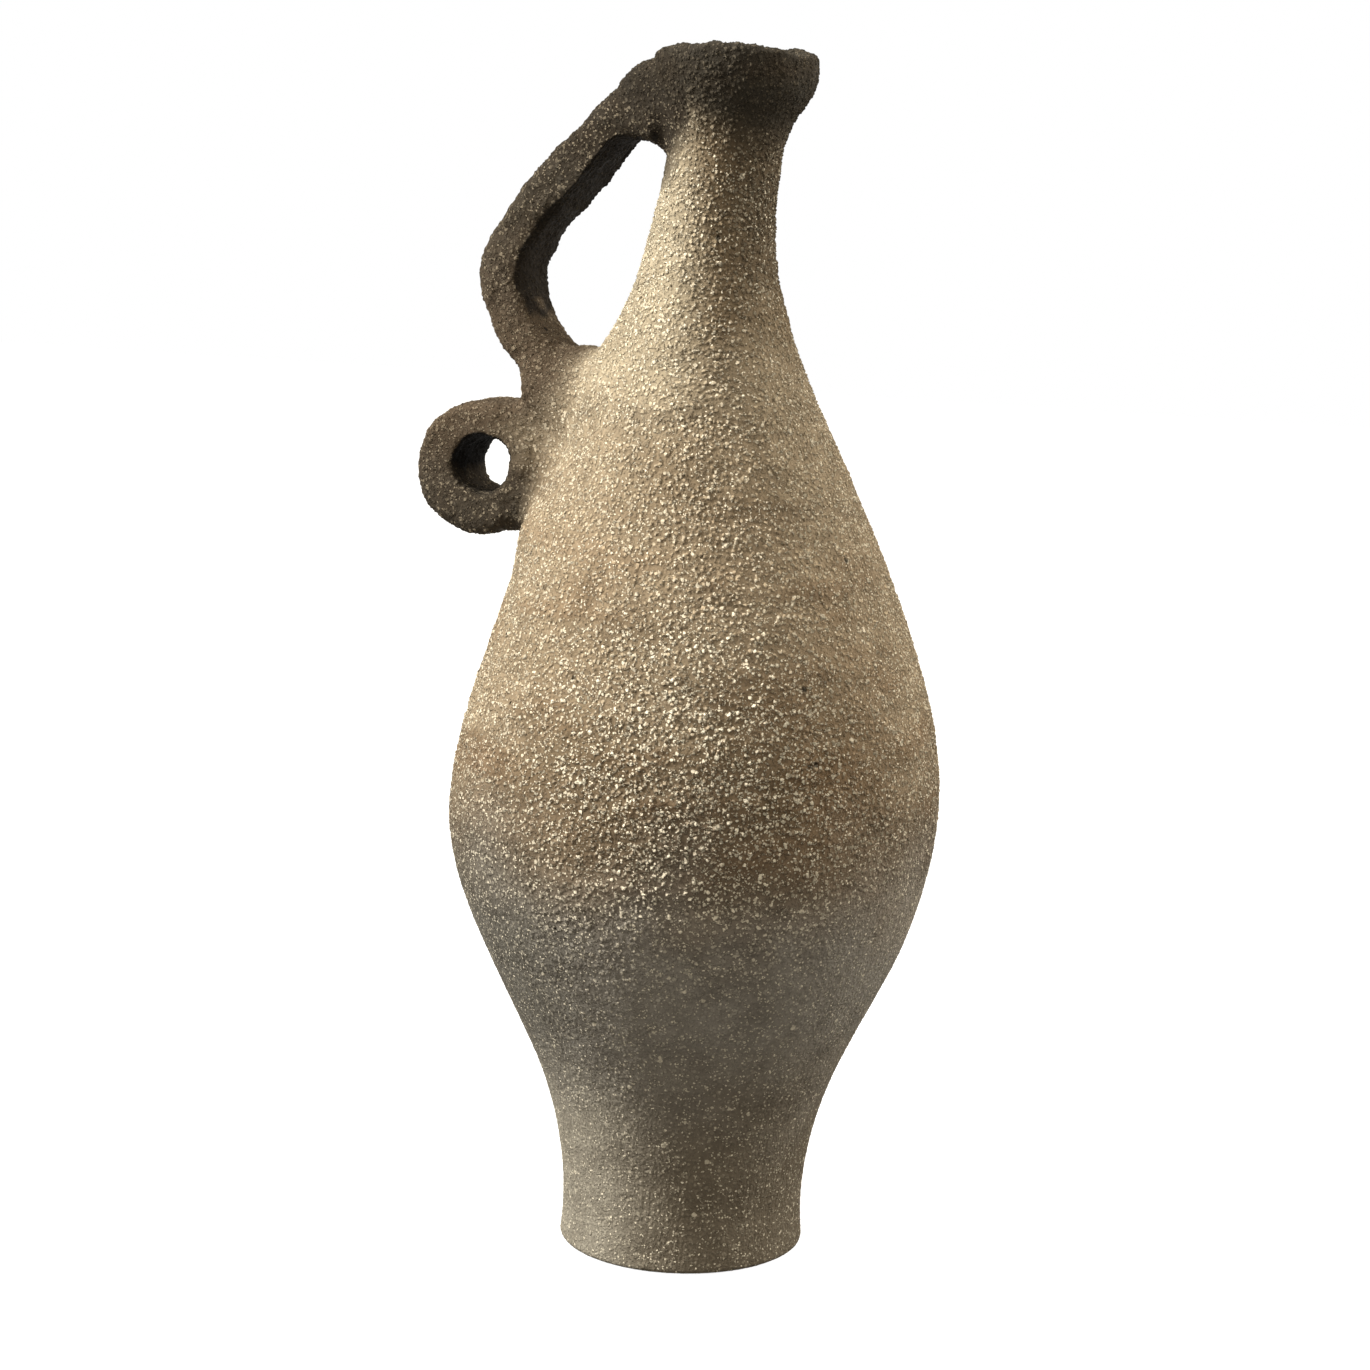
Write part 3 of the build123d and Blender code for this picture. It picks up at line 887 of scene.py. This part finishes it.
def plug_mesh():
    """A patch of the wall behind the handle, on which the handle's roots are blended."""
    rows, columns = wall_patch(PLUG_FROM, len(outside) + CREST_STEPS // 2, PLUG_TURNS)
    front = sheet[rows][:, columns]
    back = front - PLUG_DEPTH * outward[rows][:, columns]
    count, across = front.shape[:2]
    points = np.concatenate([front.reshape(-1, 3), back.reshape(-1, 3)])
    grid = np.arange(count * across).reshape(count, across)
    hind = grid + count * across
    quads = [grid_quads(grid), grid_quads(hind)[:, (0, 3, 2, 1)]]
    sides = ((grid[0], hind[0]), (hind[-1], grid[-1]), (hind[:, 0], grid[:, 0]), (grid[:, -1], hind[:, -1]))
    for a, b in sides:
        quads.append(np.stack([a[:-1], b[:-1], b[1:], a[1:]], -1))
    mesh = bpy.data.meshes.new("plug")
    mesh.from_pydata(points, [], np.concatenate(quads))
    return mesh


def handle_lump():
    """The handle's solids, the webs and the plug of wall, cast as one lump."""
    work = bmesh.new()
    for name in HANDLE_NODES:
        work.from_mesh(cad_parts[name].data)
    bmesh.ops.remove_doubles(work, verts=work.verts, dist=WELD)
    work.from_mesh(plug_mesh())
    for heart, size in WEBS:
        egg = Matrix.Translation(heart) @ Matrix.Diagonal((*size, 1))
        bmesh.ops.create_icosphere(work, subdivisions=3, radius=1, matrix=egg)
    joined = bpy.data.meshes.new("handle_joined")
    work.to_mesh(joined)
    work.free()
    blank = bpy.data.objects.new("handle_blank", joined)
    bpy.context.scene.collection.objects.link(blank)
    cast = blank.modifiers.new("cast", "REMESH")
    cast.mode = "VOXEL"
    cast.voxel_size = VOXEL
    bpy.context.view_layer.update()
    made = bpy.data.meshes.new_from_object(blank.evaluated_get(bpy.context.evaluated_depsgraph_get()))
    bpy.data.objects.remove(blank)
    return made


def vectors_of(mesh, what):
    """The places or the normals of a mesh's points."""
    found = np.empty(len(mesh.vertices) * 3)
    mesh.vertices.foreach_get(what, found)
    return found.reshape(-1, 3)


lump = handle_lump()
points = vectors_of(lump, "co")
facing = vectors_of(lump, "normal")
ends = edge_ends(lump)
degree = np.bincount(ends.reshape(-1), minlength=len(points))
skin_rows, skin_columns = wall_patch(SKIN_FROM, len(sheet), SKIN_TURNS)
skin_index = np.arange(len(sheet) * AROUND).reshape(len(sheet), AROUND)[skin_rows][:, skin_columns]
wall_skin = BVHTree.FromPolygons([Vector(p) for p in sheet.reshape(-1, 3)], grid_quads(skin_index).tolist())


def off_wall(points):
    """Signed distance of each point from the wall's skin, and the way the wall faces there."""
    gaps = np.empty(len(points))
    ways = np.empty((len(points), 3))
    for i, p in enumerate(points):
        spot, way, _, _ = wall_skin.find_nearest(Vector(p))
        gaps[i] = (Vector(p) - spot).dot(way)
        ways[i] = way
    return gaps, ways


HALF_WAY = 0.5


def relax(points, strength, rounds):
    """Draws each point towards the middle of its neighbours, half way at most, by its own strength."""
    for _ in range(rounds):
        total = np.empty_like(points)
        for axis in range(3):
            total[:, axis] = (np.bincount(ends[:, 0], points[ends[:, 1], axis], len(points))
                              + np.bincount(ends[:, 1], points[ends[:, 0], axis], len(points)))
        points = points + (HALF_WAY * strength)[:, None] * (total / degree[:, None] - points)
    return points


# the strap swells a little behind the rim and at its elbow
RIM_SWELL = 0.0030
SWELL_WAY = np.array((-0.75, 0, 0.66))
SWELL_FROM = 0.392
SWELL_OVER = 0.034
SWELL_TO = 0.4505
SWELL_ENDS = 0.006
ELBOW_SWELL = 0.0018
ELBOW_AT = 0.366
ELBOW_TALL = 0.013
ELBOW_BEHIND = -0.06
climbing = ramp(points[:, 2], SWELL_FROM, SWELL_OVER) * ramp(points[:, 2], SWELL_TO, -SWELL_ENDS)
outer_side = np.clip(facing @ SWELL_WAY, 0, 1)
points = points + (RIM_SWELL * climbing * outer_side)[:, None] * SWELL_WAY
elbow = np.exp(-((points[:, 2] - ELBOW_AT) / ELBOW_TALL) ** 2) * np.clip(-facing[:, 0], 0, 1)
points[:, 0] -= ELBOW_SWELL * elbow * (points[:, 0] < ELBOW_BEHIND)

# the roots were worked into the wall until the corners ran smooth
FILLET = 0.016
ROOT_HEART = np.array((-0.060, 0.0, 0.322))
ROOT_REACH = 0.026
ROOT_HOLD = 1.4
OVERALL_ROUNDS = 3
ROOT_ROUNDS = 220
gaps, _ = off_wall(points)
join = rounded(np.clip(1 - np.maximum(np.abs(gaps), from_handle(points)) / FILLET, 0, 1))
root = np.clip(ROOT_HOLD * (1 - np.linalg.norm(points - ROOT_HEART, axis=1) / ROOT_REACH), 0, 1)
points = relax(points, np.ones(len(points)), OVERALL_ROUNDS)
points = relax(points, np.maximum(join, root), ROOT_ROUNDS)

# the ring stands a little fuller than its solid, and hangs lower at the back
RING_HEART = np.array((-0.0893, 0.294))
RING_RADIUS = 0.026
RING_FULLER = 0.0016
FULLER_FROM = 0.016
FULLER_OVER = 0.006
RING_BACK = -0.076
RING_TOP = 0.330
RING_FADE = 0.012
RING_DROP = 0.0040
DROP_BACK = -0.074
DROP_FROM = 0.272
DROP_OVER = 0.020
DROP_TOP = 0.334
DROP_FADE = 0.008
from_ring = points[:, (0, 2)] - RING_HEART
ring_radius = np.linalg.norm(from_ring, axis=1)
fuller = ramp(ring_radius, FULLER_FROM, FULLER_OVER) * ramp(points[:, 0], RING_BACK, -RING_FADE)
fuller = fuller * ramp(points[:, 2], RING_TOP, -RING_FADE)
push = RING_FULLER * fuller * (1 - from_ring[:, 1] / (2 * RING_RADIUS))
points[:, (0, 2)] += from_ring / ring_radius[:, None] * push[:, None]
lower = ramp(points[:, 0], DROP_BACK, -RING_FADE) * ramp(points[:, 2], DROP_FROM, DROP_OVER)
points[:, 2] -= RING_DROP * lower * ramp(points[:, 2], DROP_TOP, -DROP_FADE)

# the top of the gap was opened to a round arch under the strap
ARCH_TOP = np.array((-0.0315, 0.4105))
ARCH_FOOT = np.array((-0.0500, 0.3890))
ARCH_RADIUS = 0.0067
ARCH_HOLD = 1.5
ARCH_REACH = 0.012
ARCH_ROUNDS = 14
NO_LENGTH = 1e-6
along = ARCH_FOOT - ARCH_TOP
side_on = points[:, (0, 2)]
share = np.clip(((side_on - ARCH_TOP) @ along) / (along @ along), 0, 1)
away = side_on - ARCH_TOP - share[:, None] * along
reach = np.maximum(np.linalg.norm(away, axis=1), NO_LENGTH)
points[:, (0, 2)] = side_on + away * (np.maximum(ARCH_RADIUS / reach, 1) - 1)[:, None]
by_arch = np.clip(ARCH_HOLD - np.linalg.norm(side_on - ARCH_TOP, axis=1) / ARCH_REACH, 0, 1)
points = relax(points, by_arch, ARCH_ROUNDS)

# clay was pressed into the corner between the strap's underside and the neck
CORNER_LEVEL = 0.4155
CORNER_DROP = 0.0036
CORNER_WIDE = 0.0050
CORNER_TALL = 0.0042
gaps, _ = off_wall(points)
cornered = np.exp(-(gaps / CORNER_WIDE) ** 2 - ((points[:, 2] - CORNER_LEVEL) / CORNER_TALL) ** 2)
points[:, 2] -= CORNER_DROP * cornered
lump.vertices.foreach_set("co", points.reshape(-1))
lump.update()

# fingers left shallow dents, by size and depth, on what stands clear of the wall
DENTS = ((0.015, 0.0008), (0.006, 0.0005))
DENTS_FROM = 0.005
DENTS_OVER = 0.008
gaps, ways = off_wall(points)
dented = np.array([sum(deep * noise.noise(Vector(p) / size) for size, deep in DENTS) for p in points])
points += (dented * ramp(gaps, DENTS_FROM, DENTS_OVER))[:, None] * vectors_of(lump, "normal")
lump.vertices.foreach_set("co", points.reshape(-1))
lump.update()

# what lies in the wall is cut off, and the open rim is tucked just under the wall's skin
BURIED = 0.00015
TUCKED = 0.0012
work = bmesh.new()
work.from_mesh(lump)
kept_index = work.verts.layers.int.new("was")
for v in work.verts:
    v[kept_index] = v.index
bmesh.ops.delete(work, geom=[v for v in work.verts if gaps[v.index] < BURIED], context="VERTS")
bmesh.ops.delete(work, geom=[v for v in work.verts if not v.link_faces], context="VERTS")
for v in {v for e in work.edges if e.is_boundary for v in e.verts}:
    v.co -= Vector(ways[v[kept_index]]) * (gaps[v[kept_index]] + TUCKED)
work.to_mesh(lump)
work.free()
lump.update()

# the relief fades out at the wall, the brown firing grows away from it, and painted shade lies in the ring's
# hole and under the strap
HANDLE_SKIN = 0.80
SKIN_FADE = 0.0008
BROWN_REACH = (0.006, 0.016, 0.044, 0.018, 0.013, 0.005, 0.001)
BROWN_STEPS = (0.14, 0.42, 0.60, 0.70, 0.80, 0.95)
HOLE_HEART = np.array((-0.0878, 0.2955))
HOLE_RADIUS = 0.0150
HOLE_FADE = 0.0025
HOLE_HALF_WIDTH = 0.0135
UNDERSIDE = np.array((0.80, 0.0, -0.60))
UNDER_FROM = 0.38
UNDER_OVER = 0.14
UNDER_ABOVE = 0.338
UNDER_SHADE = 0.85
spots = vectors_of(lump, "co")
facing = vectors_of(lump, "normal")
lifted, _ = off_wall(spots)
from_hole = np.linalg.norm(spots[:, (0, 2)] - HOLE_HEART, axis=1)
in_hole = ramp(from_hole, HOLE_RADIUS, -HOLE_FADE) * (np.abs(spots[:, 1]) < HOLE_HALF_WIDTH)
under_strap = ramp(facing @ UNDERSIDE, UNDER_FROM, UNDER_OVER) * (spots[:, 2] > UNDER_ABOVE)
grown = lifted / np.interp(spots[:, 2], BROWN_AT, BROWN_REACH)
turned = np.interp(grown, np.linspace(0, 1, len(BROWN_STEPS)), BROWN_STEPS)
turned = np.maximum(turned, handle_share(spots) * np.interp(spots[:, 2], BROWN_AT, BROWN_ON_WALL))
keep_on(lump, "outward", facing)
keep_on(lump, "skin", HANDLE_SKIN * ramp(lifted, 0, SKIN_FADE))
keep_on(lump, "browned", turned)
# painted shade in the ring's hole and on the strap's underside
keep_on(lump, "hollow_shade", np.maximum(in_hole, UNDER_SHADE * under_strap))

RING_CUT = 0.3215
CUT_SNAP = 0.0003
TURNED_IN = 0.985


def take_run(seam):
    """Takes one run of edges out of the seam, from where it leaves the wall to where it comes back."""
    turns = {v: [e for e in v.link_edges if e in seam] for e in seam for v in e.verts}
    here = next((v for v in turns if len(turns[v]) == 1), next(iter(turns)))
    run = [here]
    while True:
        step = next((e for e in here.link_edges if e in seam), None)
        if step is None:
            return run
        seam.remove(step)
        step.smooth = False
        here = step.other_vert(here)
        if here is not run[0]:
            run.append(here)


def handle_piece(name, nodes, keep_above):
    """The part of the worked lump above or below the cut, closed and finished as a piece."""
    cut = bmesh.new()
    cut.from_mesh(lump)
    everything = list(cut.verts) + list(cut.edges) + list(cut.faces)
    halved = bmesh.ops.bisect_plane(cut, geom=everything, dist=CUT_SNAP, use_snap_center=True,
                                    plane_co=(0, 0, RING_CUT), plane_no=(0, 0, 1),
                                    clear_inner=keep_above, clear_outer=not keep_above)
    seam = [e for e in halved["geom_cut"] if isinstance(e, bmesh.types.BMEdge) and e.is_boundary]
    # the cut is closed by fans from inside the wall, so that no long face bridges the grains of the skin
    while seam:
        run = take_run(seam)
        heart = cut.verts.new((run[0].co + run[-1].co) / 2)
        for a, b in zip(run, run[1:]):
            cut.faces.new((a, b, heart))
    # the open rim, which lies under the wall's skin, is turned a little further in and filled
    rim = [e for e in cut.edges if e.is_boundary]
    for e in rim:
        e.smooth = False
    for v in bmesh.ops.extrude_edge_only(cut, edges=rim)["geom"]:
        if isinstance(v, bmesh.types.BMVert):
            v.co.xy *= TURNED_IN
    bmesh.ops.holes_fill(cut, edges=[e for e in cut.edges if e.is_boundary], sides=0)
    bmesh.ops.triangulate(cut, faces=[f for f in cut.faces if len(f.verts) > 4])
    bmesh.ops.recalc_face_normals(cut, faces=cut.faces)
    for f in cut.faces:
        f.smooth = True
    mesh = bpy.data.meshes.new(name)
    cut.to_mesh(mesh)
    cut.free()
    dress(name, mesh, brown_clay, nodes)


handle_piece("strap_handle", ["strap_handle", "handle_rim_clay", "handle_root_clay"], True)
handle_piece("ring_lug", ["ring_lug", "lug_saddle_clay"], False)


# Studio: a plain pale floor, a soft key from the left, dim light from above, and the photograph's camera.
# None of it belongs to the pot.
CAMERA_DISTANCE = 1.125
CAMERA_HEIGHT = 0.4095
AIM = Vector((0, 0, 0.225))
ROLL = radians(1.6)
SENSOR = 36
LENS = 79.92
SHIFT_ACROSS = -0.0106
SHIFT_UP = -0.0200

eye = bpy.data.cameras.new("camera")
eye.sensor_width = SENSOR
eye.lens = LENS
eye.shift_x = SHIFT_ACROSS
eye.shift_y = SHIFT_UP
camera = bpy.data.objects.new("camera", eye)
bpy.context.scene.collection.objects.link(camera)
camera.location = (CAMERA_DISTANCE * sin(VIEW_TURN), -CAMERA_DISTANCE * cos(VIEW_TURN), CAMERA_HEIGHT)
look = (AIM - camera.location).to_track_quat("-Z", "Y").to_matrix().to_4x4()
camera.matrix_world = Matrix.Translation(camera.location) @ look @ Matrix.Rotation(ROLL, 4, "Z")
bpy.context.scene.camera = camera


def lamp(name, turn, rise, distance, size, power, tint):
    """A square soft light, turned from the camera's direction and raised, in degrees, aimed at the pot."""
    light = bpy.data.lights.new(name, "AREA")
    light.size = size
    light.energy = power
    light.color = tint
    made = bpy.data.objects.new(name, light)
    bpy.context.scene.collection.objects.link(made)
    round_to = VIEW_TURN + radians(turn)
    up = radians(rise)
    way = Vector((sin(round_to) * cos(up), -cos(round_to) * cos(up), sin(up)))
    made.location = AIM + distance * way
    made.rotation_euler = (-way).to_track_quat("-Z", "Y").to_euler()


lamp("key", turn=-79, rise=38, distance=1.6, size=0.36, power=47, tint=(1.0, 0.98, 0.95))
lamp("edge", turn=98, rise=28, distance=1.6, size=0.8, power=24, tint=(1.0, 0.95, 0.88))
lamp("fill", turn=-6, rise=4, distance=2.2, size=1.4, power=13, tint=(1.0, 0.95, 0.87))


def seen_directly(tree):
    """1 for what the camera sees straight, in a shine or through glass, and 0 for what only gives light."""
    path = tree.nodes.new("ShaderNodeLightPath").outputs
    return most(tree, path["Is Camera Ray"], most(tree, path["Is Glossy Ray"], path["Is Transmission Ray"]))


WHITE = (1, 1, 1, 1)
SKY_TINT = (1, 0.92, 0.80, 1)
SKY_RISE = (-0.1, 0.9)
SKY_LOWEST = 0.08
SKY_HIGHEST = 0.95
world = bpy.data.worlds.new("studio")
bpy.context.scene.world = world
world.use_nodes = True
air = world.node_tree
air.nodes.clear()
toward = air.nodes.new("ShaderNodeTexCoord").outputs["Generated"]
up = add(air, "ShaderNodeSeparateXYZ", {0: toward}).outputs[2]
glimmer = ease(air, up, *SKY_RISE, SKY_LOWEST, SKY_HIGHEST)
sky = add(air, "ShaderNodeBackground", {"Color": SKY_TINT, "Strength": glimmer})
plain = add(air, "ShaderNodeBackground", {"Color": WHITE, "Strength": 1.0})
mixed = add(air, "ShaderNodeMixShader", {0: seen_directly(air), 1: sky.outputs[0], 2: plain.outputs[0]})
air.links.new(mixed.outputs[0], air.nodes.new("ShaderNodeOutputWorld").inputs[0])

FLOOR_HALF = 4
FLOOR_DROP = 0.0002
FLOOR_GREY = (0.45, 0.45, 0.45, 1)
FLOOR_GLOW = 0.84
FLOOR_BOUNCE = (0.09, 0.086, 0.08, 1)
ground = bpy.data.meshes.new("studio_floor")
floor_corners = [(x * FLOOR_HALF, y * FLOOR_HALF, 0) for x, y in ((-1, -1), (1, -1), (1, 1), (-1, 1))]
ground.from_pydata(floor_corners, [], [(0, 1, 2, 3)])
floor = bpy.data.objects.new("studio_floor", ground)
bpy.context.scene.collection.objects.link(floor)
floor.location.z = -FLOOR_DROP
floor_paint = bpy.data.materials.new("studio_floor")
floor_paint.use_nodes = True
tree = floor_paint.node_tree
tree.nodes.clear()
matt = add(tree, "ShaderNodeBsdfDiffuse", {"Color": FLOOR_GREY})
dim = add(tree, "ShaderNodeBsdfDiffuse", {"Color": FLOOR_BOUNCE})
glow = add(tree, "ShaderNodeEmission", {"Color": WHITE, "Strength": FLOOR_GLOW})
white = add(tree, "ShaderNodeAddShader", {0: matt.outputs[0], 1: glow.outputs[0]})
both = add(tree, "ShaderNodeMixShader", {0: seen_directly(tree), 1: dim.outputs[0], 2: white.outputs[0]})
tree.links.new(both.outputs[0], tree.nodes.new("ShaderNodeOutputMaterial").inputs[0])
ground.materials.append(floor_paint)
bpy.context.scene.view_settings.view_transform = "Standard"
